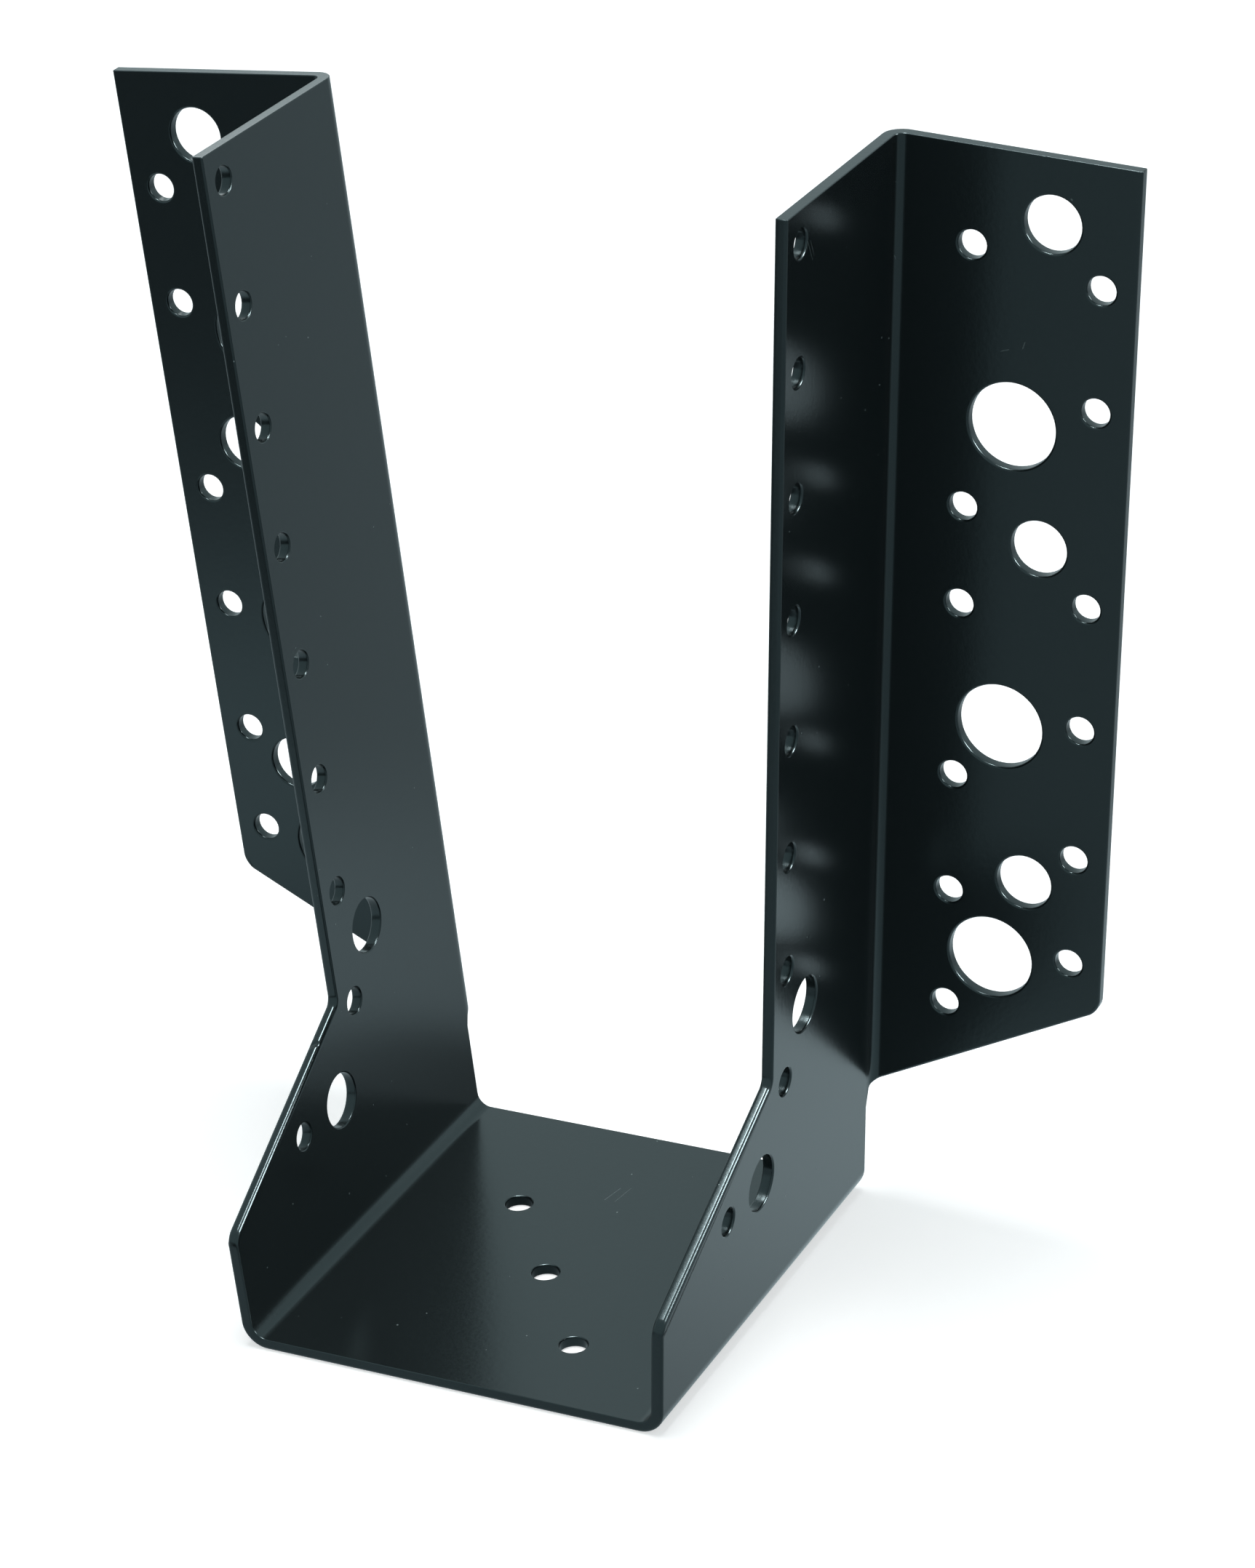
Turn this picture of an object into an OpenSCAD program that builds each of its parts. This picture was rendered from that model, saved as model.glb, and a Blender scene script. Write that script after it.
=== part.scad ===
// Joist hanger, folded from one blank of steel sheet.
// A flat seat carries the joist, two cheeks stand up from it and lean out a little,
// and a flange folds outwards from the back edge of each cheek to meet the header.
// X runs across the joist, Y from the front lip to the header, Z up.
// The origin lies under the middle of the hanger, on the surface that the seat stands on.
// Heights on a cheek or flange are measured up the cheek, from the seat's upper face.

/* [Seat] */
// Clear width between the cheeks where they meet the seat
seat_w = 72; // [50:1:120]
// Depth from the front lip to the back face of the flanges
depth = 84; // [72:1:110]
// Thickness of the sheet
sheet_t = 2; // [1.5:0.1:3]
// Inside radius of the folds beside the seat
seat_fold_r = 2.5; // [1:0.1:5]
// Distance of the middle seat nail hole from the front lip
seat_nail_y = 34.7; // [28:0.1:44]
// Step between the seat nail holes, across the joist
seat_nail_dx = 14.2; // [8:0.1:20]
// Step between the seat nail holes, along the joist
seat_nail_dy = 18.2; // [10:0.1:24]

/* [Cheeks] */
// Height of the cheeks above the seat
cheek_h = 188; // [140:1:240]
// Angle at which each cheek leans outwards
splay = 3.8; // [0:0.1:6]
// Height of the upright front edge beside the lip
lip_h = 18.6; // [12:0.1:26]
// Height at which the slanted front edge ends in the shoulder
shoulder_h = 41; // [34:0.1:52]
// Distance of the upper front edge behind the lip
setback = 40.7; // [32:0.1:48]
// Radius of the corner between the lip and the slanted edge
lip_r = 3; // [1:0.1:6]
// Radius in the shoulder's inside corner
shoulder_r = 2; // [0.5:0.1:6]

/* [Flanges] */
// Width of a flange, from the cheek's inner face to its outer edge
flange_w = 41.7; // [36:0.1:60]
// Inside radius of the folds between cheeks and flanges
flange_fold_r = 1.5; // [0.8:0.1:3]
// Height at which the flange's slanted bottom edge would reach the cheek
root_h = 17.8; // [12:0.1:24]
// Height at which the slanted bottom edge reaches the flange's outer edge
corner_h = 42.3; // [36:0.1:52]
// Radius of the flange's lower outer corner
corner_r = 3.5; // [1:0.1:8]
// Radius of the fillet where the bottom edge runs into the cheek
root_r = 2.8; // [1.5:0.1:4]

/* [Holes] */
// Diameter of the nail holes
nail_d = 5; // [3:0.1:6]
// Diameter of the bolt holes
bolt_d = 9.7; // [7:0.1:11]
// Diameter of the large anchor holes
anchor_d = 14.8; // [12:0.1:16]
// Distance of the outer nail row from the flange's outer edge
outer_row_edge = 5.7; // [4.5:0.1:8]
// Distance of the inner nail row from the cheek's inner face
inner_row = 14.7; // [11:0.1:17]
// Shift of the bolt row, outwards from midway between the nail rows
bolt_row_shift = 2.3; // [0:0.1:4]
// Shift of the anchor row, inwards from midway between the nail rows
anchor_row_shift = 3; // [0:0.1:4]
// Number of nail holes in the column on each cheek
column_nails = 8; // [3:1:9]
// Distance of the column behind the upper front edge
column_edge = 5.1; // [4:0.1:8]
// Distance of the column's top nail hole below the top edge
column_top = 5.4; // [4:0.1:12]
// Height of the column's lowest nail hole
column_foot = 38.5; // [30:0.1:60]
// Distance of the toe nail hole behind the lip
toe_nail_y = 24.3; // [12:0.1:28]
// Drop of the toe nail hole below the slanted edge
toe_nail_drop = 7.7; // [5:0.1:12]
// Distance of the low bolt hole behind the lip
low_bolt_y = 37.1; // [33:0.1:44]
// Height of the low bolt hole
low_bolt_h = 24.2; // [12:0.1:26]
// Distance of the high bolt hole behind the upper front edge
high_bolt_edge = 12.5; // [11:0.1:20]
// Height of the high bolt hole
high_bolt_h = 49.1; // [42:0.1:60]

/* [Hidden] */
$fn = 48;

// Spare length of a cutting tool past the sheet on each side
spare = 1;
// Straight pieces in a rounded corner of an outline
corner_steps = 8;
// Turn of the flange fold at which the fillet at its lower end runs out, and the depth of
// the block that the fillet is cut from, compared with the distance to there
fillet_turn = 30;
fillet_block = 1.2;

// Gaps between the holes of each flange row, from the top edge down to the level of
// the lower corner. They share out that length, so a row stretches with the flange.
outer_nail_gaps = [20.1, 20.2, 33.4, 21.5, 23.4, 19.2, 7.9];
inner_nail_gaps = [16.2, 44.0, 16.9, 30.7, 21.3, 21.3, -4.7];
bolt_gaps = [10.8, 54.2, 59.7, 21.0];
anchor_gaps = [45.1, 52.3, 42.6, 5.7];

// Where the fold into the flange begins on the cheek and ends on the flange
cheek_back = depth - sheet_t - flange_fold_r;
flange_start = sheet_t + flange_fold_r;
// Angle of the fold between seat and cheek, and its length on each inner face
seat_fold_turn = 90 - splay;
seat_fold_reach = seat_fold_r * tan(seat_fold_turn / 2);
seat_fold_stretch = seat_fold_turn * 3 / 4;
// Distance of that fold's axis from the middle of the seat
seat_fold_axis = seat_w / 2 - seat_fold_reach;
// Rows of holes on a flange, measured from the cheek's inner face
outer_row = flange_w - outer_row_edge;
mid_row = (inner_row + outer_row) / 2;

function flange_bottom(x) = root_h + (corner_h - root_h) * x / flange_w;
function front_slant(y) = lip_h + (shoulder_h - lip_h) * y / setback;
function total(list, upto) = upto < 0 ? 0 : list[upto] + total(list, upto - 1);
function row_height(gaps, i) =
    cheek_h - (cheek_h - corner_h) * total(gaps, i) / total(gaps, len(gaps) - 1);
function unit(v) = v / norm(v);

// Points of the arc of radius r that rounds the corner p between the points a and b
function rounded(a, p, b, r) =
    let (
        to_a = unit(a - p),
        to_b = unit(b - p),
        half = acos(to_a * to_b) / 2,
        middle = p + unit(to_a + to_b) * r / sin(half),
        start = p + to_a * r / tan(half) - middle,
        end = p + to_b * r / tan(half) - middle,
        from = atan2(start[1], start[0]),
        sweep = atan2(start[0] * end[1] - start[1] * end[0], start * end)
    )
    [for (i = [0 : corner_steps])
        let (angle = from + sweep * i / corner_steps)
        middle + r * [cos(angle), sin(angle)]];

// A hole punched square through the sheet, which lies on the XY plane
module punched(at, d) {
    translate([at[0], at[1], -spare])
        cylinder(d = d, h = sheet_t + 2 * spare);
}

// The plate under one half of the joist, seen from the axis of the seat fold. It reaches
// past the middle of the seat, where the other half overlaps it.
module half_seat() {
    translate([-seat_fold_axis - spare, 0, -seat_fold_r - sheet_t])
        cube([seat_fold_axis + spare, cheek_back, sheet_t]);
}

module seat_nail_holes() {
    for (i = [-1 : 1])
        punched([i * seat_nail_dx, seat_nail_y - i * seat_nail_dy], nail_d);
}

// One stretch of the seat fold: the sheet bent round the Y axis, from below the axis
// towards the X axis
module seat_fold() {
    translate([0, cheek_back, 0])
        rotate([90, 0, 0])
            rotate([0, 0, -90])
                rotate_extrude(angle = seat_fold_stretch)
                    translate([seat_fold_r, 0])
                        square([sheet_t, cheek_back]);
}

// Outline of a cheek, with the lip at the left and the flange fold at the right
module cheek_outline() {
    lip = [0, lip_h];
    shoulder = [setback, shoulder_h];
    foot = seat_fold_reach;
    polygon(concat(
        [[0, foot]],
        rounded([0, foot], lip, shoulder, lip_r),
        rounded(lip, shoulder, [setback, cheek_h], shoulder_r),
        [[setback, cheek_h], [cheek_back, cheek_h], [cheek_back, foot]]
    ));
}

module cheek() {
    column_y = setback + column_edge;
    pitch = (cheek_h - column_top - column_foot) / (column_nails - 1);
    rotate([90, 0, 90])
        difference() {
            linear_extrude(sheet_t)
                cheek_outline();
            for (i = [0 : column_nails - 1])
                punched([column_y, column_foot + i * pitch], nail_d);
            punched([toe_nail_y, front_slant(toe_nail_y) - toe_nail_drop], nail_d);
            punched([low_bolt_y, low_bolt_h], bolt_d);
            punched([setback + high_bolt_edge, high_bolt_h], bolt_d);
        }
}

module flange_row(x, gaps, d) {
    for (i = [0 : len(gaps) - 2])
        punched([x, row_height(gaps, i)], d);
}

// The strip that folds outwards behind a cheek, before its lower end is cut: an overlap
// into the cheek, the fold itself, and the flat plate from there to past the outer edge
module folded_strip() {
    translate([0, cheek_back - spare, 0])
        cube([sheet_t, spare, cheek_h]);
    translate([flange_start, cheek_back, 0])
        rotate([0, 0, 90])
            rotate_extrude(angle = 90)
                translate([flange_fold_r, 0])
                    square([sheet_t, cheek_h]);
    translate([flange_start, depth - sheet_t, 0])
        cube([flange_w - flange_start + spare, sheet_t, cheek_h]);
}

// What stays of that strip, seen from the front, with the cheek at the left
module flange_outline() {
    start = [-spare, flange_bottom(-spare)];
    corner = [flange_w, corner_h];
    top = [flange_w, cheek_h];
    translate([0, depth + spare, 0])
        rotate([90, 0, 0])
            linear_extrude(depth - cheek_back + 2 * spare)
                polygon(concat(
                    [start],
                    rounded(start, corner, top, corner_r),
                    [top, [-spare, cheek_h]]
                ));
}

// What stays below that outline, seen from the side: a fillet between the back edge of the
// cheek and the lower end of the fold, where it runs out a third of the way round
module flange_root() {
    out_y = flange_fold_r * sin(fillet_turn);
    out_h = flange_bottom(flange_start - flange_fold_r * cos(fillet_turn));
    drop = sqrt(pow(root_r, 2) - pow(root_r - out_y, 2));
    limit_y = fillet_block * out_y;
    translate([-spare, cheek_back, out_h - drop])
        rotate([90, 0, 90])
            linear_extrude(flange_start + spare)
                difference() {
                    translate([-spare, 0])
                        square([limit_y + spare, root_r]);
                    translate([root_r, 0])
                        circle(r = root_r);
                }
}

module flange() {
    difference() {
        intersection() {
            folded_strip();
            union() {
                flange_outline();
                flange_root();
            }
        }
        translate([0, depth, 0])
            rotate([90, 0, 0]) {
                flange_row(outer_row, outer_nail_gaps, nail_d);
                flange_row(inner_row, inner_nail_gaps, nail_d);
                flange_row(mid_row + bolt_row_shift, bolt_gaps, bolt_d);
                flange_row(mid_row - anchor_row_shift, anchor_gaps, anchor_d);
            }
    }
}

// One half of the hanger, at the right of the middle. Seat and cheek each lean by half the
// splay, to opposite sides, about the axis of the seat fold between them. The fold is two
// stretches that overlap: one starts square on the seat, and its mirror image starts
// square on the cheek. Then the whole half turns until its seat is level.
module half_hanger() {
    translate([seat_fold_axis, 0, sheet_t + seat_fold_r])
        rotate([0, splay / 2, 0]) {
            rotate([0, -splay / 2, 0]) {
                half_seat();
                seat_fold();
            }
            rotate([0, splay / 2, 0]) {
                mirror([1, 0, 1])
                    seat_fold();
                translate([seat_fold_r, 0, -seat_fold_reach]) {
                    cheek();
                    flange();
                }
            }
        }
}

module hanger() {
    color([0.13, 0.15, 0.15])
        translate([0, -depth / 2, 0])
            difference() {
                for (side = [0, 1])
                    mirror([side, 0, 0])
                        half_hanger();
                seat_nail_holes();
            }
}

hanger();
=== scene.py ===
# %% [markdown]
# # A joist hanger, dressed for a photograph
#
# The object is a joist hanger: one blank of 2 mm steel, punched full of holes, folded four
# times and coated in satin black powder. A timber joist sits on its seat, and nails or
# bolts go through its cheeks and flanges.
#
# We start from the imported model, which is the fixed frame. It already has the right size,
# but its edges are knife sharp and its finish is one flat colour. So here we model the
# same sheet again with softened edges, and then we work on the coat and the light.

# %% Load the frame
import math
import bmesh
import bpy
from mathutils import Matrix, Vector
from mathutils.bvhtree import BVHTree


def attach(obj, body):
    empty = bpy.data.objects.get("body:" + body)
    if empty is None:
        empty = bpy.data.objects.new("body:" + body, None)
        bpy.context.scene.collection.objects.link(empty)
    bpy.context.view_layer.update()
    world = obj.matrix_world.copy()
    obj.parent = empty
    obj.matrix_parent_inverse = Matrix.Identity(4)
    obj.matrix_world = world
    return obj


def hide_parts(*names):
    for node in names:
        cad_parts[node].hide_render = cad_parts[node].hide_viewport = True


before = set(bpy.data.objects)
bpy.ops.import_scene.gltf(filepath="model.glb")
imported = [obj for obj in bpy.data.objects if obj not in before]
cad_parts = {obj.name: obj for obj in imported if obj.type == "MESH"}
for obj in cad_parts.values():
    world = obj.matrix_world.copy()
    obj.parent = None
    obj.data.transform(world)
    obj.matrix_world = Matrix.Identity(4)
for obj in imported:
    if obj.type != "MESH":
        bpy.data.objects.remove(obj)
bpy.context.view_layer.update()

print("nodes:", sorted(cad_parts))

# %% [markdown]
# ## The sizes of the sheet
#
# Blender works in metres, so each size is written in millimetres times `MM`. The names
# follow the real part. A cheek leans outwards by the splay, and heights on it are
# measured up its slope, from the line where it would meet the seat without a fold.

# %% Sizes
MM = 0.001
SEAT_W = 72 * MM
DEPTH = 84 * MM
SHEET_T = 2 * MM
SEAT_FOLD_R = 2.5 * MM
CHEEK_H = 188 * MM
SPLAY = math.radians(3.8)
LIP_H = 18.6 * MM
SHOULDER_H = 41 * MM
SETBACK = 40.7 * MM
LIP_R = 3 * MM
SHOULDER_R = 2 * MM
FLANGE_W = 41.7 * MM
FLANGE_FOLD_R = 1.5 * MM
ROOT_H = 17.8 * MM
CORNER_H = 42.3 * MM
CORNER_R = 3.5 * MM
ROOT_R = 2.8 * MM

LIP_Y = -DEPTH / 2
BACK_Y = DEPTH / 2
CHEEK_BACK_Y = BACK_Y - SHEET_T - FLANGE_FOLD_R
FLANGE_START = SHEET_T + FLANGE_FOLD_R
SEAT_TURN = math.radians(90) - SPLAY
SEAT_REACH = SEAT_FOLD_R * math.tan(SEAT_TURN / 2)
FOLD_AXIS_X = SEAT_W / 2 - SEAT_REACH

# %% [markdown]
# ## A frame that leans with the right cheek
#
# Working on a leaning plate is easier in a frame of its own. `up` runs up the cheek and
# `out` points square away from it, towards the outside. `on_cheek` turns a distance from
# the cheek's inner face, a depth and a height into a point of the scene.

# %% The leaning frame
up = Vector((math.sin(SPLAY), 0, math.cos(SPLAY)))
out = Vector((math.cos(SPLAY), 0, -math.sin(SPLAY)))
fold_axis = Vector((FOLD_AXIS_X, 0, SHEET_T + SEAT_FOLD_R))
cheek_foot = fold_axis + out * SEAT_FOLD_R - up * SEAT_REACH


def on_cheek(distance, y, height):
    return cheek_foot + out * distance + up * height + Vector((0, y, 0))


def height_on_cheek(point):
    return (point - cheek_foot).dot(up)


def distance_from_cheek(point):
    return (point - cheek_foot).dot(out)


print("top of the cheek in mm:", [round(1000 * c, 1) for c in on_cheek(0, 0, CHEEK_H)])

# %% [markdown]
# ## Picking edges by their place
#
# By hand we would click on an edge. In code we pick the edges whose two ends pass a test,
# such as "both lie on the right side of the seat". A picked edge is then what the next
# operator works on, as with a click.

# %% Picking helpers
CLOSE = 0.02 * MM


def near(a, b):
    return abs(a - b) < CLOSE


def pick(piece, kind, test):
    """Selects the edges or vertices of a piece in edit mode whose points pass a test."""
    bpy.ops.mesh.select_mode(type="VERT" if kind == "verts" else "EDGE")
    bpy.ops.mesh.select_all(action="DESELECT")
    mesh = bmesh.from_edit_mesh(piece.data)
    picked = 0
    for item in getattr(mesh, kind):
        points = [item.co] if kind == "verts" else [v.co for v in item.verts]
        if all(test(p) for p in points):
            item.select_set(True)
            picked += 1
    mesh.select_flush_mode()
    bmesh.update_edit_mesh(piece.data)
    return picked


def place(piece, where):
    """Moves each picked vertex to the place that a function of its present one gives."""
    mesh = bmesh.from_edit_mesh(piece.data)
    for v in mesh.verts:
        if v.select:
            v.co = where(v.co.copy())
    bmesh.update_edit_mesh(piece.data)


print("points closer than", CLOSE / MM, "mm count as one")

# %% [markdown]
# ## The inner face of the sheet: half the seat
#
# A folded sheet is best built as a single surface first, which gets its thickness at the
# end. We take the face that touches the timber: the seat's upper face, the cheek's inner
# face and the flange's back face. Both halves are alike, so one half is enough for now.
# It starts as a plane, stretched to half the seat, up to where the fold begins.

# %% Half the seat
bpy.ops.object.select_all(action="DESELECT")
bpy.ops.mesh.primitive_plane_add(size=1, enter_editmode=True)
sheet = bpy.context.object
sheet.name = "folded_sheet"
sheet.data.name = "folded_sheet"
bpy.ops.transform.resize(value=(FOLD_AXIS_X, CHEEK_BACK_Y - LIP_Y, 1))
bpy.ops.transform.translate(value=(FOLD_AXIS_X / 2, (CHEEK_BACK_Y + LIP_Y) / 2, SHEET_T))
print("half seat:", len(bmesh.from_edit_mesh(sheet.data).faces), "face")

# %% [markdown]
# ## The fold beside the seat
#
# A press brake bends the sheet round a tool with a rounded nose. The Spin operator does
# the same: it swings the picked edge round an axis and leaves a row of faces behind it.
# The cheek doesn't stand quite upright, so the fold turns a little less than 90 degrees.

# %% Seat fold
SEAT_FOLD_STEPS = 12
pick(sheet, "edges", lambda p: near(p.x, FOLD_AXIS_X))
bpy.ops.mesh.spin(steps=SEAT_FOLD_STEPS, angle=SEAT_TURN, center=fold_axis, axis=(0, 1, 0))
print("seat fold turns", round(math.degrees(SEAT_TURN), 1), "degrees")

# %% [markdown]
# ## The cheek
#
# The edge that the fold ends in is still selected, so we extrude it up the slope of the
# cheek. That takes two steps: a low one up to where the flange's fold will begin, and a
# tall one up to the top. The low step leaves a corner on the back edge for later.
#
# The flange's lower end runs down to the cheek as a slanted edge with a small fillet. In
# the flat blank, before folding, that edge is a straight line. `edge_height` gives its
# height from the distance along the blank, and the fillet begins at `ROOT_START`.

# %% Cheek
NEUTRAL = 0.42
FOLD_LENGTH = (FLANGE_FOLD_R + NEUTRAL * SHEET_T) * math.pi / 2
SLANT = (CORNER_H - ROOT_H) / FLANGE_W
FLANGE_START_H = ROOT_H + SLANT * FLANGE_START
LINE_H = FLANGE_START_H - SLANT * FOLD_LENGTH
ROOT_TANGENT = ROOT_R / math.tan((math.radians(90) + math.atan(SLANT)) / 2)
ROOT_START = LINE_H - ROOT_TANGENT


def edge_height(along):
    """Height of the flange's slanted lower edge, at a distance along the fold's middle."""
    if along < ROOT_TANGENT * math.cos(math.atan(SLANT)):
        return ROOT_START + math.sqrt(ROOT_R**2 - (ROOT_R - along) ** 2)
    return LINE_H + SLANT * along


for rise in (ROOT_START - SEAT_REACH, CHEEK_H - ROOT_START):
    bpy.ops.mesh.extrude_region_move(TRANSFORM_OT_translate={"value": up * rise})
print("fold begins", round(ROOT_START / MM, 2), "mm up the cheek")

# %% [markdown]
# ## The flange
#
# The tall part of the cheek's back edge is spun outwards by a quarter turn, round an axis
# that leans with the cheek. Then it's extruded to the flange's full width. The surface we
# model lies on the outer side of this fold, so its radius is the inside radius plus the
# thickness of the sheet.

# %% Flange
FLANGE_FOLD_STEPS = 12
back_edges = pick(
    sheet,
    "edges",
    lambda p: near(p.y, CHEEK_BACK_Y) and height_on_cheek(p) > ROOT_START - CLOSE,
)
print("back edges to fold:", back_edges)
bpy.ops.mesh.spin(
    steps=FLANGE_FOLD_STEPS,
    angle=math.radians(90),
    center=on_cheek(FLANGE_START, CHEEK_BACK_Y, 0),
    axis=up,
)
bpy.ops.mesh.extrude_region_move(TRANSFORM_OT_translate={"value": out * (FLANGE_W - FLANGE_START)})

# %% [markdown]
# ## The flange's lower end
#
# Now the lower corners of the fold and of the flange slide up the slope, each to the
# height that the slanted edge has there. The distance along the fold follows from how far
# round the fold a corner lies.

# %% Lower end of the flange
def slide_up(point):
    distance = distance_from_cheek(point)
    if distance > FLANGE_W - CLOSE:
        height = CORNER_H
    elif distance > FLANGE_START - CLOSE:
        height = FLANGE_START_H
    else:
        turned = math.acos(min(1, (FLANGE_START - distance) / FLANGE_START))
        height = edge_height(FOLD_LENGTH * turned / math.radians(90))
    return point + up * (height - height_on_cheek(point))


low_corners = pick(
    sheet, "verts", lambda p: p.y > CHEEK_BACK_Y + CLOSE and near(height_on_cheek(p), ROOT_START)
)
place(sheet, slide_up)
print("corners slid up:", low_corners)

# %% [markdown]
# ## The cheek's front edge
#
# The front edge is upright beside the lip, then slants back to a shoulder, and then runs
# straight up. We subdivide the tall front edge into three and drag its two new corners
# and its top corner to those places. The cheek stays one flat face with more corners.

# %% Front edge of the cheek
def front_place(point):
    height = height_on_cheek(point)
    if near(height, CHEEK_H):
        return on_cheek(0, LIP_Y + SETBACK, CHEEK_H)
    if height < (CHEEK_H + ROOT_START) / 2:
        return on_cheek(0, LIP_Y, LIP_H)
    return on_cheek(0, LIP_Y + SETBACK, SHOULDER_H)


def on_front(point):
    return near(point.y, LIP_Y) and height_on_cheek(point) > ROOT_START - CLOSE


pick(sheet, "edges", on_front)
bpy.ops.mesh.subdivide(number_cuts=2)
dragged = pick(sheet, "verts", lambda p: on_front(p) and height_on_cheek(p) > ROOT_START + CLOSE)
place(sheet, front_place)
print("corners dragged:", dragged)

# %% [markdown]
# ## Rounded corners of the outline
#
# A punched blank has no sharp corners. Bevel works on single vertices too, and on a flat
# face it rounds a corner into an arc. Its amount is how far the arc reaches along each
# edge, so it's worked out from the corner's angle and the radius that we want.

# %% Round the corners
def reach_for(radius, corner_angle):
    return radius / math.tan(corner_angle / 2)


CORNER_STEPS = 8
lean_back = math.atan2(SHOULDER_H - LIP_H, SETBACK)
corners = [
    (on_cheek(0, LIP_Y, LIP_H), LIP_R, math.radians(90) + lean_back),
    (on_cheek(0, LIP_Y + SETBACK, SHOULDER_H), SHOULDER_R, math.radians(90) + lean_back),
    (on_cheek(FLANGE_W, BACK_Y, CORNER_H), CORNER_R, math.radians(90) + math.atan(SLANT)),
]
for corner, radius, angle in corners:
    pick(sheet, "verts", lambda p: (p - corner).length < CLOSE)
    bpy.ops.mesh.bevel(affect="VERTICES", offset=reach_for(radius, angle), segments=CORNER_STEPS)
print("corners of the half sheet:", len(bmesh.from_edit_mesh(sheet.data).verts))

# %% [markdown]
# ## Both halves
#
# The Mirror modifier makes the left half and merges the two along the middle of the seat.
# Before that we make all faces point the same way, towards the timber, because the
# thickness will grow on the other side.

# %% Mirror
bpy.ops.mesh.select_mode(type="FACE")
bpy.ops.mesh.select_all(action="SELECT")
bpy.ops.mesh.normals_make_consistent(inside=False)
seat_face = min(bmesh.from_edit_mesh(sheet.data).faces, key=lambda f: f.calc_center_median().x)
if seat_face.normal.z < 0:
    bpy.ops.mesh.flip_normals()
bpy.ops.object.mode_set(mode="OBJECT")


def finish_modifier(piece, kind, **settings):
    """Adds a modifier, sets it up and applies it."""
    bpy.context.view_layer.objects.active = piece
    modifier = piece.modifiers.new(kind.lower(), kind)
    for name, value in settings.items():
        setattr(modifier, name, value)
    bpy.ops.object.modifier_apply(modifier=modifier.name)


finish_modifier(sheet, "MIRROR", use_axis=(True, False, False), merge_threshold=CLOSE)
print("both halves:", len(sheet.data.polygons), "faces")

# %% [markdown]
# ## Thickness and softened edges
#
# Solidify gives the surface its 2 mm, away from the timber, with the same thickness in the
# folds. No edge of the real sheet is sharp. The press drew the edges down on the side where
# its tool went in, here the side away from the timber, and left the other side nearly
# square. The slanted edges, which hands touch, are round on both sides, and the top edges
# are crisp. A Bevel modifier can take its size from a weight on each edge, so each kind of
# edge gets its own radius. The function below gives the weight, as a share of the largest
# radius. Most of the bright lines in the photograph come from these round edges.

# %% Thickness
EDGE_ROUND = 0.9 * MM
CRISP = 0.2
TIMBER_SIDE = 0.3
TOOL_SIDE = 0.5
SEAT_TOOL_SIDE = 0.85
SEAT_EDGES_BELOW = 1.5 * SHEET_T
SLANT_Y = SETBACK / math.hypot(SETBACK, SHOULDER_H - LIP_H)
inner_points = len(sheet.data.vertices)
finish_modifier(sheet, "SOLIDIFY", thickness=SHEET_T, offset=-1, use_even_offset=True)


def edge_weight(edge):
    middle = (edge.verts[0].co + edge.verts[1].co) / 2
    along = (edge.verts[1].co - edge.verts[0].co).normalized()
    inner_ends = sum(v.index < inner_points for v in edge.verts)
    if inner_ends == 1 or middle.z > CHEEK_H:
        return CRISP
    if middle.z < SEAT_EDGES_BELOW:
        share = SEAT_TOOL_SIDE if inner_ends == 0 else CRISP
    else:
        share = TOOL_SIDE if inner_ends == 0 else TIMBER_SIDE
    if middle.y < LIP_Y + SETBACK + CLOSE:
        share += (1 - share) * min(1, abs(along.y) / SLANT_Y)
    return share


print("points of the inner face:", inner_points, "and with thickness:", len(sheet.data.vertices))

# %% [markdown]
# ## Weights on the edges
#
# Only steep edges get a bevel: those where two faces meet at more than 50 degrees. By hand
# we would select them and drag a weight onto them. Here edges with the same weight are
# selected together, the operator sets it, and then the modifier rounds them all at once.

# %% Rounded edges
STEEP = math.radians(50)
EDGE_STEPS = 6
bpy.ops.object.mode_set(mode="EDIT")
bpy.ops.mesh.select_mode(type="EDGE")
same_weight = {}
for edge in bmesh.from_edit_mesh(sheet.data).edges:
    if edge.calc_face_angle() > STEEP:
        same_weight.setdefault(round(edge_weight(edge), 2), []).append(edge.index)
for weight, edges in sorted(same_weight.items()):
    bpy.ops.mesh.select_all(action="DESELECT")
    mesh = bmesh.from_edit_mesh(sheet.data)
    mesh.edges.ensure_lookup_table()
    for index in edges:
        mesh.edges[index].select_set(True)
    bmesh.update_edit_mesh(sheet.data)
    bpy.ops.transform.edge_bevelweight(value=weight)
bpy.ops.object.mode_set(mode="OBJECT")
print("bevel weights and edges:", {weight: len(edges) for weight, edges in same_weight.items()})
finish_modifier(sheet, "BEVEL", width=EDGE_ROUND, segments=EDGE_STEPS, limit_method="WEIGHT")
print("sheet with thickness:", len(sheet.data.polygons), "faces")

# %% [markdown]
# ## Where the holes are
#
# The sheet has three sizes of hole: 5 mm for nails, larger ones for bolts and larger ones
# still for anchors. A flange has two rows of nail holes with the bolts and anchors in
# between. The gaps in a row run from the top edge down to the level of the lower corner.
# A cheek has one column of eight nail holes and three holes below it, each given by its
# depth and its height on the slope.

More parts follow.
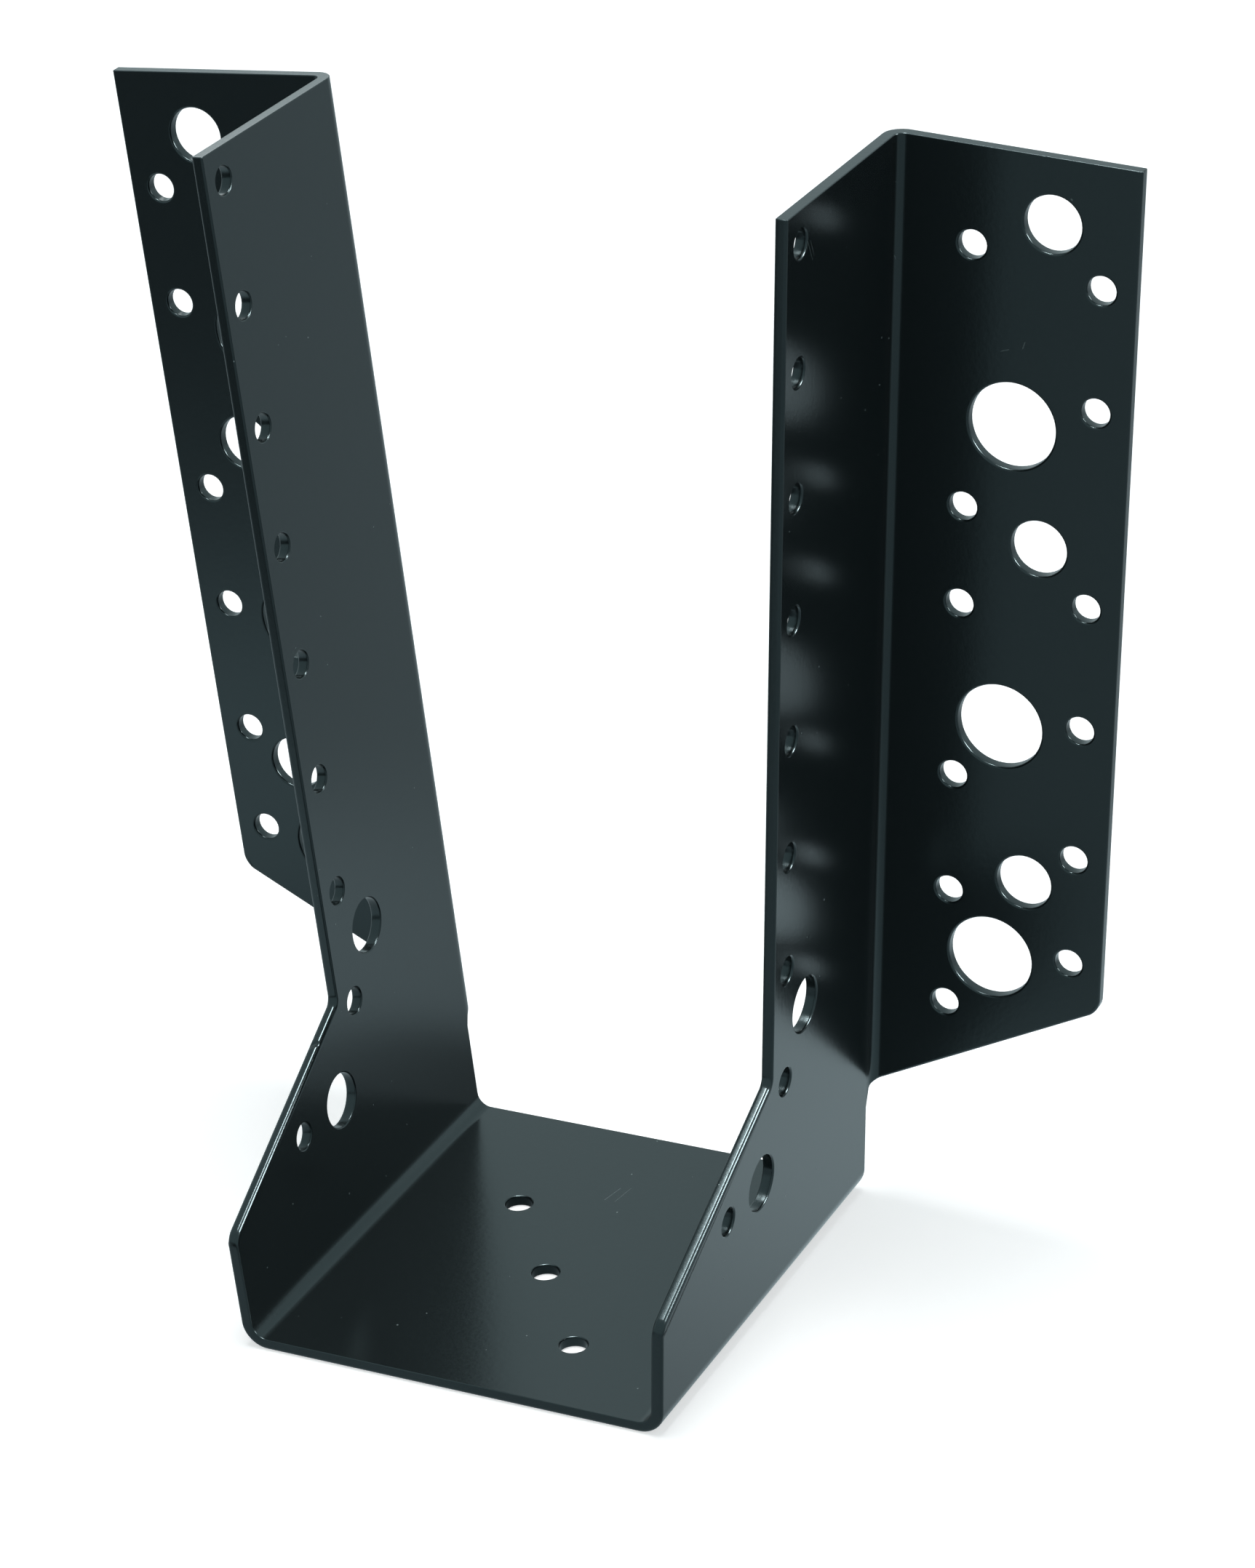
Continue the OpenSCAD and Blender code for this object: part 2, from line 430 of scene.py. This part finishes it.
# %% Hole rows
NAIL_R = 2.5 * MM
BOLT_R = 4.85 * MM
ANCHOR_R = 7.4 * MM
OUTER_ROW = 36 * MM
INNER_ROW = 14.7 * MM
MID_ROW = (OUTER_ROW + INNER_ROW) / 2
BOLT_ROW = MID_ROW + 2.3 * MM
ANCHOR_ROW = MID_ROW - 3 * MM
COLUMN_Y = LIP_Y + SETBACK + 5.1 * MM
COLUMN_FOOT = 38.5 * MM
COLUMN_TOP = CHEEK_H - 5.4 * MM
COLUMN_NAILS = 8
SEAT_NAIL_Y = LIP_Y + 34.7 * MM
SEAT_NAIL_STEP = Vector((14.2 * MM, -18.2 * MM, 0))

flange_rows = [
    (NAIL_R, OUTER_ROW, [20.1, 20.2, 33.4, 21.5, 23.4, 19.2, 7.9]),
    (NAIL_R, INNER_ROW, [16.2, 44.0, 16.9, 30.7, 21.3, 21.3, -4.7]),
    (BOLT_R, BOLT_ROW, [10.8, 54.2, 59.7, 21.0]),
    (ANCHOR_R, ANCHOR_ROW, [45.1, 52.3, 42.6, 5.7]),
]
cheek_holes = [
    (NAIL_R, LIP_Y + 24.3 * MM, 24.27 * MM),
    (BOLT_R, LIP_Y + 37.1 * MM, 24.2 * MM),
    (BOLT_R, LIP_Y + SETBACK + 12.5 * MM, 49.1 * MM),
]
for i in range(COLUMN_NAILS):
    rise = (COLUMN_TOP - COLUMN_FOOT) * i / (COLUMN_NAILS - 1)
    cheek_holes.append((NAIL_R, COLUMN_Y, COLUMN_FOOT + rise))
print("rows on a flange:", len(flange_rows), "and holes in a cheek:", len(cheek_holes))

# %% [markdown]
# ## Each hole as a point and a direction
#
# A punch needs to know where to go and which way to point. Each hole is kept as a point in
# the middle of the sheet's thickness, with the direction that points away from the timber.
# The left half repeats the right one, mirrored.

# %% Hole places
holes = []
for radius, distance, gaps in flange_rows:
    for i in range(1, len(gaps)):
        drop = (CHEEK_H - CORNER_H) * sum(gaps[:i]) / sum(gaps)
        point = on_cheek(distance, BACK_Y - SHEET_T / 2, CHEEK_H - drop)
        holes.append((radius, point, Vector((0, -1, 0))))
for radius, y, height in cheek_holes:
    holes.append((radius, on_cheek(SHEET_T / 2, y, height), out))
for radius, point, direction in list(holes):
    flip = Vector((-1, 1, 1))
    holes.append((radius, point * flip, direction * flip))
for i in (-1, 0, 1):
    point = Vector((0, SEAT_NAIL_Y, SHEET_T / 2)) + SEAT_NAIL_STEP * i
    holes.append((NAIL_R, point, Vector((0, 0, -1))))
print("holes:", len(holes))

# %% [markdown]
# ## A cutter with a flared rim
#
# The punch went in from the side away from the timber. It drew the rim down there, so that
# rim is a little rounder than the other one. A plain cylinder would cut two sharp rims. Our
# cutter is a circle that is extruded and widened ring by ring along an arc, like the mouth
# of a trumpet, first to one side and then to the other. One Boolean then cuts the hole and
# its round rims together. The coat also lines the holes, and in the photograph they look a
# little narrower than the nails and bolts ask for, so each cutter is made narrower by
# `LINING`.

# %% Cutters
LINING = 0.15 * MM
RIM_ROUND = 0.4 * MM
BURR_ROUND = 0.25 * MM
RIM_STEPS = 5
RIM_TURN = math.radians(76)
PAST_FACE = 0.03 * MM
FEWEST_SIDES = 36
SIDES_PER_MM = 9


def flare(radius, round_by):
    """Radius and height of each ring, from the middle of the sheet to just past its face."""
    rings = [(radius, 0)]
    for step in range(RIM_STEPS + 1):
        turned = RIM_TURN * step / RIM_STEPS
        wider = round_by * (1 - math.cos(turned))
        rings.append((radius + wider, SHEET_T / 2 - round_by * (1 - math.sin(turned))))
    last_r, last_h = rings[-1]
    rise = SHEET_T / 2 + PAST_FACE - last_h
    rings.append((last_r + rise * math.tan(RIM_TURN), last_h + rise))
    return rings


def extrude_rings(rings, side):
    """Extrudes the selected circle from ring to ring, and closes the last one."""
    for (r0, h0), (r1, h1) in zip(rings, rings[1:]):
        bpy.ops.mesh.extrude_region_move(TRANSFORM_OT_translate={"value": (0, 0, side * (h1 - h0))})
        bpy.ops.transform.resize(value=(r1 / r0, r1 / r0, 1), center_override=(0, 0, side * h1))
    bpy.ops.mesh.edge_face_add()


def make_cutter(hole_radius):
    """A closed cutter round the Z axis, with its rounder rim at the upper end."""
    radius = hole_radius - LINING
    around = max(FEWEST_SIDES, round(hole_radius / MM * SIDES_PER_MM))
    bpy.ops.mesh.primitive_circle_add(vertices=around, radius=radius, enter_editmode=True)
    cutter = bpy.context.object
    bpy.ops.mesh.select_mode(type="EDGE")
    bpy.ops.mesh.select_all(action="SELECT")
    extrude_rings(flare(radius, RIM_ROUND), 1)
    pick(cutter, "edges", lambda p: near(p.z, 0))
    extrude_rings(flare(radius, BURR_ROUND), -1)
    bpy.ops.mesh.select_all(action="SELECT")
    bpy.ops.mesh.normals_make_consistent(inside=False)
    bpy.ops.object.mode_set(mode="OBJECT")
    return cutter


bpy.ops.object.select_all(action="DESELECT")
patterns = {radius: make_cutter(radius) for radius in (NAIL_R, BOLT_R, ANCHOR_R)}
print("faces of each cutter:", [len(c.data.polygons) for c in patterns.values()])

# %% [markdown]
# ## Punching all the holes
#
# A copy of the right cutter goes to each hole, turned to the hole's direction. They are
# joined into one object, so the Boolean modifier runs once for all of them.

# %% Punch the holes
cutters = []
for radius, point, direction in holes:
    cutter = patterns[radius].copy()
    cutter.data = patterns[radius].data.copy()
    turn = direction.to_track_quat("Z", "Y").to_matrix().to_4x4()
    cutter.data.transform(Matrix.Translation(point) @ turn)
    bpy.context.collection.objects.link(cutter)
    cutters.append(cutter)
for pattern in patterns.values():
    bpy.data.objects.remove(pattern)
bpy.ops.object.select_all(action="DESELECT")
for cutter in cutters:
    cutter.select_set(True)
bpy.context.view_layer.objects.active = cutters[0]
bpy.ops.object.join()
punch = bpy.context.object
finish_modifier(sheet, "BOOLEAN", object=punch, operation="DIFFERENCE", solver="EXACT")
bpy.data.objects.remove(punch)
print("punched sheet:", len(sheet.data.polygons), "faces")

# %% [markdown]
# ## Smooth shading
#
# The folds and rims should look round and the plates flat. Smooth shading up to an angle
# does the first. The Weighted Normal modifier does the second: at a corner that a large
# and a small face share, it lets the large one decide, so no shade creeps over the plates.

# %% Shading
SMOOTH_UP_TO = math.radians(40)
bpy.ops.object.select_all(action="DESELECT")
sheet.select_set(True)
bpy.context.view_layer.objects.active = sheet
bpy.ops.object.shade_smooth_by_angle(angle=SMOOTH_UP_TO)
finish_modifier(sheet, "WEIGHTED_NORMAL", weight=100, keep_sharp=True)
print("smooth faces:", sum(face.use_smooth for face in sheet.data.polygons))

# %% [markdown]
# ## Is it the same part?
#
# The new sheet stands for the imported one, so it must have the same form. We measure how
# far each corner of one mesh lies from the surface of the other. A few tenths of a
# millimetre are the rounded edges, and anything more would be a mistake in the sizes.

# %% Compare with the frame
def farthest(points_of, surface_of):
    tree = BVHTree.FromObject(surface_of, bpy.context.evaluated_depsgraph_get())
    worst = max(points_of.data.vertices, key=lambda v: tree.find_nearest(v.co)[3])
    return tree.find_nearest(worst.co)[3] / MM, [round(c / MM, 1) for c in worst.co]


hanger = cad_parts["hanger"]
print("new sheet lies off the frame by at most %.2f mm, at %s" % farthest(sheet, hanger))
print("frame lies off the new sheet by at most %.2f mm, at %s" % farthest(hanger, sheet))
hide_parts("hanger")
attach(sheet, "root")

# %% [markdown]
# ## Helpers for materials
#
# By hand, a material is a graph: we add nodes, change their settings and join them with
# lines. `add_node` does that for one node. Each of its inputs gets a plain value, or a line
# from the output of another node.

# %% Material helpers
def new_material(name):
    material = bpy.data.materials.new(name)
    material.use_nodes = True
    return material, material.node_tree.nodes, material.node_tree.links


def add_node(nodes, links, kind, inputs, **settings):
    node = nodes.new(kind)
    for name, value in settings.items():
        setattr(node, name, value)
    for name, value in inputs.items():
        if isinstance(value, bpy.types.NodeSocket):
            links.new(value, node.inputs[name])
        else:
            node.inputs[name].default_value = value
    return node


def add_math(nodes, links, operation, *values):
    inputs = dict(enumerate(values))
    return add_node(nodes, links, "ShaderNodeMath", inputs, operation=operation).outputs["Value"]


def fade(nodes, links, value, low, high, start, end):
    """A smooth change from one level to another as a value goes from low to high."""
    inputs = {"Value": value, "From Min": low, "From Max": high, "To Min": start, "To Max": end}
    kind = "ShaderNodeMapRange"
    return add_node(nodes, links, kind, inputs, interpolation_type="SMOOTHSTEP").outputs["Result"]


def new_group(name, inputs, outputs):
    """A node group with named sockets, the outputs of its input node and the reverse."""
    group = bpy.data.node_groups.new(name, "ShaderNodeTree")
    for in_out, sockets in (("INPUT", inputs), ("OUTPUT", outputs)):
        for socket, kind in sockets.items():
            group.interface.new_socket(socket, in_out=in_out, socket_type="NodeSocket" + kind)
    given = group.nodes.new("NodeGroupInput").outputs
    wanted = group.nodes.new("NodeGroupOutput").inputs
    return group, given, wanted


print("material helpers ready")

# %% [markdown]
# ## The grain of the powder coat
#
# The sheet wears a satin black powder coat. Powder melts into a skin that is never quite
# flat: it has a soft orange peel, nearly a millimetre across, and a finer grain. Both are
# noise on Object coordinates, so they stay with the piece. This group puts out a height for
# a Bump node, and the fine noise by itself, which varies the gloss.

# %% Powder grain
GRAIN_SCALE = 3200
powder_grain, given, wanted = new_group(
    "powder_grain",
    {"Vector": "Vector", "Peel Scale": "Float", "Grain Share": "Float"},
    {"Height": "Float", "Grain": "Float"},
)
nodes, links = powder_grain.nodes, powder_grain.links
noises = []
for scale in (given["Peel Scale"], GRAIN_SCALE):
    inputs = {"Vector": given["Vector"], "Scale": scale, "Detail": 1}
    noises.append(add_node(nodes, links, "ShaderNodeTexNoise", inputs).outputs["Fac"])
soft, fine = noises
weighed = add_math(nodes, links, "MULTIPLY", fine, given["Grain Share"])
links.new(add_math(nodes, links, "ADD", soft, weighed), wanted["Height"])
links.new(fine, wanted["Grain"])
print("grain group:", len(nodes), "nodes")

# %% [markdown]
# ## Dust
#
# The part has been handled, and a few dust specks lie on it. A Voronoi texture divides space
# into cells with one point each. Where the surface comes close enough to such a point, there
# is a speck. The cell's random colour decides its size and whether it's there at all.

# %% Dust specks
LEFT_CLEAN = 0.45
dust_specks, given, wanted = new_group(
    "dust_specks", {"Vector": "Vector", "Scale": "Float", "Size": "Float"}, {"Mask": "Float"}
)
nodes, links = dust_specks.nodes, dust_specks.links
inputs = {"Vector": given["Vector"], "Scale": given["Scale"]}
cells = add_node(nodes, links, "ShaderNodeTexVoronoi", inputs).outputs
chance = add_node(nodes, links, "ShaderNodeSeparateColor", {"Color": cells["Color"]}).outputs
size = add_math(nodes, links, "MULTIPLY", given["Size"], chance["Red"])
mask = add_math(nodes, links, "LESS_THAN", cells["Distance"], size)
chosen = add_math(nodes, links, "GREATER_THAN", chance["Green"], LEFT_CLEAN)
links.new(add_math(nodes, links, "MULTIPLY", mask, chosen), wanted["Mask"])
print("dust group:", len(nodes), "nodes")

# %% [markdown]
# ## A mark along a line
#
# Scratches and the nick each lie along a short line between two points. This group finds
# how far a spot on the surface is from that line. It takes the nearest point of the line,
# by the dot product, and fades from 1 on the line to 0 at the mark's width.

# %% Line mark
def add_vector_math(nodes, links, operation, first, second):
    inputs = {0: first, 1: second}
    node = add_node(nodes, links, "ShaderNodeVectorMath", inputs, operation=operation)
    return node.outputs["Vector" if operation == "SUBTRACT" else "Value"]


SHORTEST_SQUARED = 1e-12
line_mark, given, wanted = new_group(
    "line_mark",
    {"Vector": "Vector", "Start": "Vector", "End": "Vector", "Width": "Float"},
    {"Mask": "Float"},
)
nodes, links = line_mark.nodes, line_mark.links
from_start = add_vector_math(nodes, links, "SUBTRACT", given["Vector"], given["Start"])
whole = add_vector_math(nodes, links, "SUBTRACT", given["End"], given["Start"])
squared = add_vector_math(nodes, links, "DOT_PRODUCT", whole, whole)
squared = add_math(nodes, links, "MAXIMUM", squared, SHORTEST_SQUARED)
along = add_vector_math(nodes, links, "DOT_PRODUCT", from_start, whole)
share = add_math(nodes, links, "DIVIDE", along, squared)
share = add_node(nodes, links, "ShaderNodeClamp", {"Value": share}).outputs["Result"]
inputs = {0: whole, "Scale": share}
nearest = add_node(nodes, links, "ShaderNodeVectorMath", inputs, operation="SCALE").outputs["Vector"]
away = add_vector_math(nodes, links, "DISTANCE", from_start, nearest)
links.new(fade(nodes, links, away, 0, given["Width"], 1, 0), wanted["Mask"])
print("line group:", len(nodes), "nodes")

# %% [markdown]
# ## Where the coat is marked
#
# The photograph shows faint scratches on the seat and beside the top nail hole of the right
# cheek, scuffs on the right flange and its fold, and a blob of coat on the rim of a hole.
# Each row gives two ends and a width in millimetres. The marks and the dust together are
# `dull`, which is 0 on the clean coat.

# %% Marks
MARK_STRENGTH = 0.6
DUST_SCALE = 330
DUST_SIZE = 0.06
scratches = [
    ((-0.9, 16.9, 2), (0.0, 21.3, 2), 0.1),
    ((1.0, 17.0, 2), (1.7, 21.9, 2), 0.07),
    ((50.2, 5.3, 185.5), (49.8, 8.2, 180.0), 0.09),
    ((50.1, 7.3, 183.4), (49.8, 8.8, 180.4), 0.08),
    ((50.2, 4.6, 185.3), (50.0, 6.3, 182.2), 0.07),
    ((66.4, 40, 155.5), (67.7, 40, 155.9), 0.12),
    ((70.4, 40, 157.4), (70.0, 40, 156.3), 0.12),
    ((49.4, 39.3, 169.6), (49.5, 39.8, 168.2), 0.1),
    ((78.5, 40, 181.4), (78.6, 40, 181.3), 0.25),
]
coat, nodes, links = new_material("black_powder_coat")
spot = nodes.new("ShaderNodeTexCoord").outputs["Object"]


def add_mark(start, end, width):
    ends = {"Start": [c * MM for c in start], "End": [c * MM for c in end]}
    inputs = {"Vector": spot, "Width": width * MM, **ends}
    return add_node(nodes, links, "ShaderNodeGroup", inputs, node_tree=line_mark).outputs["Mask"]


marks = 0
for start, end, width in scratches:
    marks = add_math(nodes, links, "MAXIMUM", add_mark(start, end, width), marks)
marks = add_math(nodes, links, "MULTIPLY", marks, MARK_STRENGTH)
inputs = {"Vector": spot, "Scale": DUST_SCALE, "Size": DUST_SIZE}
dust = add_node(nodes, links, "ShaderNodeGroup", inputs, node_tree=dust_specks).outputs["Mask"]
dull = add_math(nodes, links, "MAXIMUM", marks, dust)
print("scratches and scuffs:", len(scratches))

# %% [markdown]
# ## The coat's colour and gloss
#
# The base colour is nearly black, with a trace of green and blue. What the eye sees is
# mostly the satin reflection, and it has a cold tint too. Marks are lighter and duller than
# the coat around them. The fine grain makes the gloss vary a little from spot to spot.

# %% Colour and gloss
COAT_BLACK = (0.0052, 0.0068, 0.0072, 1)
WORN_GREY = (0.17, 0.2, 0.2, 1)
REFLECTION_TINT = (0.74, 0.96, 1.0, 1)
PEEL_SCALE = 1100
GRAIN_SHARE = 0.2
SMOOTHEST = 0.15
GLOSS_VARIES = 0.13
MARK_DULLS = 0.3
shader = nodes["Principled BSDF"].inputs
shader["Specular Tint"].default_value = REFLECTION_TINT
inputs = {"Factor": dull, "A": COAT_BLACK, "B": WORN_GREY}
colour = add_node(nodes, links, "ShaderNodeMix", inputs, data_type="RGBA").outputs["Result"]
links.new(colour, shader["Base Color"])
inputs = {"Vector": spot, "Peel Scale": PEEL_SCALE, "Grain Share": GRAIN_SHARE}
grain = add_node(nodes, links, "ShaderNodeGroup", inputs, node_tree=powder_grain).outputs
gloss = add_math(nodes, links, "MULTIPLY_ADD", grain["Grain"], GLOSS_VARIES, SMOOTHEST)
gloss = add_math(nodes, links, "MULTIPLY_ADD", dull, MARK_DULLS, gloss)
links.new(gloss, shader["Roughness"])
print("coat colour:", COAT_BLACK[:3])

# %% [markdown]
# ## Orange peel and a nick
#
# Neither is worth real faces, so both are bumps, which only tilt the light. The left slanted
# edge has a small nick, about as deep as the coat and a little of the steel. Its Bump node
# is inverted, so it sinks in, and it feeds the Bump node of the orange peel.

# %% Peel and nick
NICK = ((-40.2, -9.4, 38.5), (-39.2, -8.9, 38.9), 0.8)
NICK_DEPTH = 0.35 * MM
PEEL_DEPTH = 0.01 * MM
inputs = {"Height": add_mark(*NICK), "Distance": NICK_DEPTH}
dent = add_node(nodes, links, "ShaderNodeBump", inputs, invert=True).outputs["Normal"]
inputs = {"Height": grain["Height"], "Distance": PEEL_DEPTH, "Strength": 1.0, "Normal": dent}
links.new(add_node(nodes, links, "ShaderNodeBump", inputs).outputs["Normal"], shader["Normal"])
sheet.data.materials.clear()
sheet.data.materials.append(coat)
print("coat material:", len(nodes), "nodes")

# %% [markdown]
# ## The camera
#
# The photograph was taken from the front right, looking down, with a long lens. The camera
# was found by fitting it to the edges and holes of the part. Its place is given by two
# angles, a roll and a distance from a point near the middle of the part, and its lens by the
# focal length in pixels of a picture 1725 pixels wide.

# %% Camera
PHOTO_W = 1725
FOCAL_PX = 6725.96
SENSOR_MM = 36
AZIMUTH = math.radians(27.487)
ELEVATION = math.radians(26.166)
ROLL = math.radians(3.759)
DISTANCE = 768.29 * MM
AIM = Vector((18.547 * MM, -2.0 * MM, 92.959 * MM))
NEAREST = 50 * MM

towards = Vector((
    math.sin(AZIMUTH) * math.cos(ELEVATION),
    -math.cos(AZIMUTH) * math.cos(ELEVATION),
    math.sin(ELEVATION),
))
level_right = (-towards).cross(Vector((0, 0, 1))).normalized()
level_down = (-towards).cross(level_right)
right = math.cos(ROLL) * level_right + math.sin(ROLL) * level_down
down = -math.sin(ROLL) * level_right + math.cos(ROLL) * level_down
camera_data = bpy.data.cameras.new("camera")
camera_data.sensor_fit = "HORIZONTAL"
camera_data.sensor_width = SENSOR_MM
camera_data.lens = SENSOR_MM * FOCAL_PX / PHOTO_W
camera_data.clip_start = NEAREST
camera = bpy.data.objects.new("camera", camera_data)
bpy.context.scene.collection.objects.link(camera)
turn = Matrix((right, -down, towards)).transposed().to_4x4()
camera.matrix_world = Matrix.Translation(AIM + towards * DISTANCE) @ turn
bpy.context.scene.camera = camera
print("lens in mm:", round(camera_data.lens, 1))

# %% [markdown]
# ## The white room
#
# A black part on a white ground is lit by what it mirrors. The world has its full level for
# the camera's rays and for mirrored ones, and a lower level for the rest. It's pure white
# for the camera, and a cold, slightly blue-green white for the light on the part.

# %% World
WORLD_LEVEL = 0.35
WORLD_TINT = (0.72, 0.89, 0.92, 1)
bpy.context.scene.view_settings.view_transform = "Standard"
world = bpy.data.worlds.new("studio")
bpy.context.scene.world = world
world.use_nodes = True
nodes, links = world.node_tree.nodes, world.node_tree.links
path = nodes.new("ShaderNodeLightPath").outputs
seen = add_math(nodes, links, "ADD", path["Is Camera Ray"], path["Is Glossy Ray"])
seen = add_math(nodes, links, "ADD", seen, path["Is Transmission Ray"])
inputs = {"Value": seen, "To Min": WORLD_LEVEL, "To Max": 1.0}
level = add_node(nodes, links, "ShaderNodeMapRange", inputs).outputs["Result"]
links.new(level, nodes["Background"].inputs["Strength"])
inputs = {"Factor": path["Is Camera Ray"], "A": WORLD_TINT, "B": (1, 1, 1, 1)}
tint = add_node(nodes, links, "ShaderNodeMix", inputs, data_type="RGBA").outputs["Result"]
links.new(tint, nodes["Background"].inputs["Color"])
print("world level for plain light:", WORLD_LEVEL)

# %% [markdown]
# ## The paper
#
# The camera sees white paper with a faint shadow. A diffuse surface takes the shadow, and a
# little light of its own, for the camera only, lifts it to white. Farther out this light
# grows, so the paper runs on into the white of the world without a visible edge.

# %% Paper
PAPER_SIZE = 6
PAPER_GREY = (0.8, 0.8, 0.8, 1)
NEAR_LIFT = 0.6
FAR_LIFT = 1.0
LIFT_GROWS = (0.3, 1.2)
bpy.ops.object.select_all(action="DESELECT")
bpy.ops.mesh.primitive_plane_add(size=PAPER_SIZE)
floor = bpy.context.object
floor.name = "floor"
paper, nodes, links = new_material("white_paper")
nodes.remove(nodes["Principled BSDF"])
path = nodes.new("ShaderNodeLightPath").outputs
spot = nodes.new("ShaderNodeTexCoord").outputs["Object"]


def distance_from(point):
    inputs = {0: spot, 1: point}
    return add_node(nodes, links, "ShaderNodeVectorMath", inputs, operation="DISTANCE").outputs["Value"]


lift = fade(nodes, links, distance_from((0, 0, 0)), *LIFT_GROWS, NEAR_LIFT, FAR_LIFT)
lift = add_math(nodes, links, "MULTIPLY", path["Is Camera Ray"], lift)
diffuse = add_node(nodes, links, "ShaderNodeBsdfDiffuse", {"Color": PAPER_GREY}).outputs["BSDF"]
white = add_node(nodes, links, "ShaderNodeEmission", {"Strength": lift}).outputs["Emission"]
shown = add_node(nodes, links, "ShaderNodeAddShader", {0: diffuse, 1: white}).outputs["Shader"]
print("paper laid:", floor.dimensions.x, "m wide")

# %% [markdown]
# ## What the part mirrors in the floor
#
# The part mirrors the same floor, and in the photograph it isn't evenly bright. There is a
# pool of light at the back right and one at the left, and a dark spot under the back of the
# seat and just behind it, where the part keeps the light off. Each row gives the middle of
# such a patch, the distance at which it ends and the level that it adds.

# %% Pools of light
FLOOR_LEVEL = 0.6
POOL_CORE = 0.03
pools = [
    ((0.085, 0.07, 0), 0.13, 0.4),
    ((-0.15, -0.08, 0), 0.13, 0.4),
    ((-0.01, 0.03, 0), 0.05, -0.4),
]
lit = FLOOR_LEVEL
for centre, reach, strength in pools:
    patch = fade(nodes, links, distance_from(centre), POOL_CORE, reach, strength, 0)
    lit = add_math(nodes, links, "ADD", patch, lit)
print("patches of light and shade:", len(pools))

# %% [markdown]
# ## The painted dark patch
#
# In front of the part a dark patch is painted into the floor, seen only by mirrored rays, and
# the floor left of it is dim. The flanges mirror them, and this painted shade is what makes
# them near black. The camera itself sees plain paper there. The patch lies along the camera's
# line of sight, so its sides are measured across that line. Each edge is soft, so it has a
# place where it begins and one where it ends.

# %% Painted dark patch
FRONT_LEVEL = 0.35
FRONT_EDGE = (-0.3, -0.1)
DIM_RIGHT_EDGE = (-0.01, 0.03)
# Painted shade: level of the dark patch in the mirrored floor, and its soft edges
DARK_PATCH_LEVEL = 0.03
DARK_PATCH_LEFT_EDGE = (-0.08, -0.045)
DARK_PATCH_RIGHT_EDGE = (-0.03, 0.01)
DARK_PATCH_BACK_EDGE = (-0.1, -0.06)
SIGHT_SLOPE = -0.47
SIGHT_SHIFT = -0.028
parts = add_node(nodes, links, "ShaderNodeSeparateXYZ", {"Vector": spot}).outputs
across = add_math(nodes, links, "MULTIPLY_ADD", parts["Y"], SIGHT_SLOPE, SIGHT_SHIFT)
across = add_math(nodes, links, "ADD", parts["X"], across)
front = fade(nodes, links, parts["Y"], *FRONT_EDGE, 1 - FRONT_LEVEL, 0)
left = fade(nodes, links, across, *DIM_RIGHT_EDGE, 1, 0)
dark_patch_left = fade(nodes, links, across, *DARK_PATCH_LEFT_EDGE, 0, 1 - DARK_PATCH_LEVEL)
dark_patch_right = fade(nodes, links, across, *DARK_PATCH_RIGHT_EDGE, 1, 0)
dark_patch_back = fade(nodes, links, parts["Y"], *DARK_PATCH_BACK_EDGE, 1, 0)
# Painted shade in the mirrored floor: the dim floor and the dark patch, which the flanges mirror as
# near black
dim = add_math(nodes, links, "MULTIPLY", front, left)
dark_patch = add_math(nodes, links, "MULTIPLY", dark_patch_left, dark_patch_right)
dark_patch = add_math(nodes, links, "MULTIPLY", dark_patch, dark_patch_back)
for darkness in (dim, dark_patch):
    kept = add_math(nodes, links, "SUBTRACT", 1, darkness)
    lit = add_math(nodes, links, "MULTIPLY", lit, kept)
print("level of the card:", DARK_PATCH_LEVEL, "and of the dim floor:", FRONT_LEVEL)

# %% [markdown]
# ## The floor is finished
#
# Mirrored rays see the pattern, in a cold white, and all others see the paper.

# %% Floor
MIRRORED_WHITE = (0.79, 0.97, 1.03, 1)
inputs = {"Color": MIRRORED_WHITE, "Strength": lit}
mirrored = add_node(nodes, links, "ShaderNodeEmission", inputs).outputs["Emission"]
inputs = {"Fac": path["Is Glossy Ray"], 1: shown, 2: mirrored}
final = add_node(nodes, links, "ShaderNodeMixShader", inputs).outputs["Shader"]
links.new(final, nodes["Material Output"].inputs["Surface"])
floor.data.materials.append(paper)
print("floor material:", len(nodes), "nodes")

# %% [markdown]
# ## The lamps
#
# A softbox hangs above the part. The round edges and the rims of the holes catch it as the
# bright lines and glints of the photograph. One at the right draws the second thin line
# along the slanted edges, and a small one behind brightens the top edges. Glints that clip
# to white take a very bright lamp, which would bleach the paper and the coat's own colour.
# So the bright ones show in mirrored rays only, and a plain one lights the rest.

# %% Lamps
PART_MIDDLE = Vector((0, 0, 90 * MM))


def softbox(name, size, watts, position, mirrored_only):
    lamp = bpy.data.lights.new(name, "AREA")
    lamp.size = size
    lamp.energy = watts
    piece = bpy.data.objects.new(name, lamp)
    piece.visible_diffuse = not mirrored_only
    piece.visible_camera = False
    piece.location = position
    piece.rotation_euler = (PART_MIDDLE - Vector(position)).to_track_quat("-Z", "Y").to_euler()
    bpy.context.scene.collection.objects.link(piece)


softbox("overhead", 0.5, 6, (0.0, 0.04, 1.1), False)
softbox("top_edge_glint", 0.07, 0.032, (-0.138, 0.169, 0.275), True)
softbox("overhead_glint", 0.22, 11, (0.0, 0.04, 1.0), True)
softbox("right_glint", 0.34, 18, (0.83, 0.29, 0.57), True)
print("lamps:", len(bpy.data.lights))
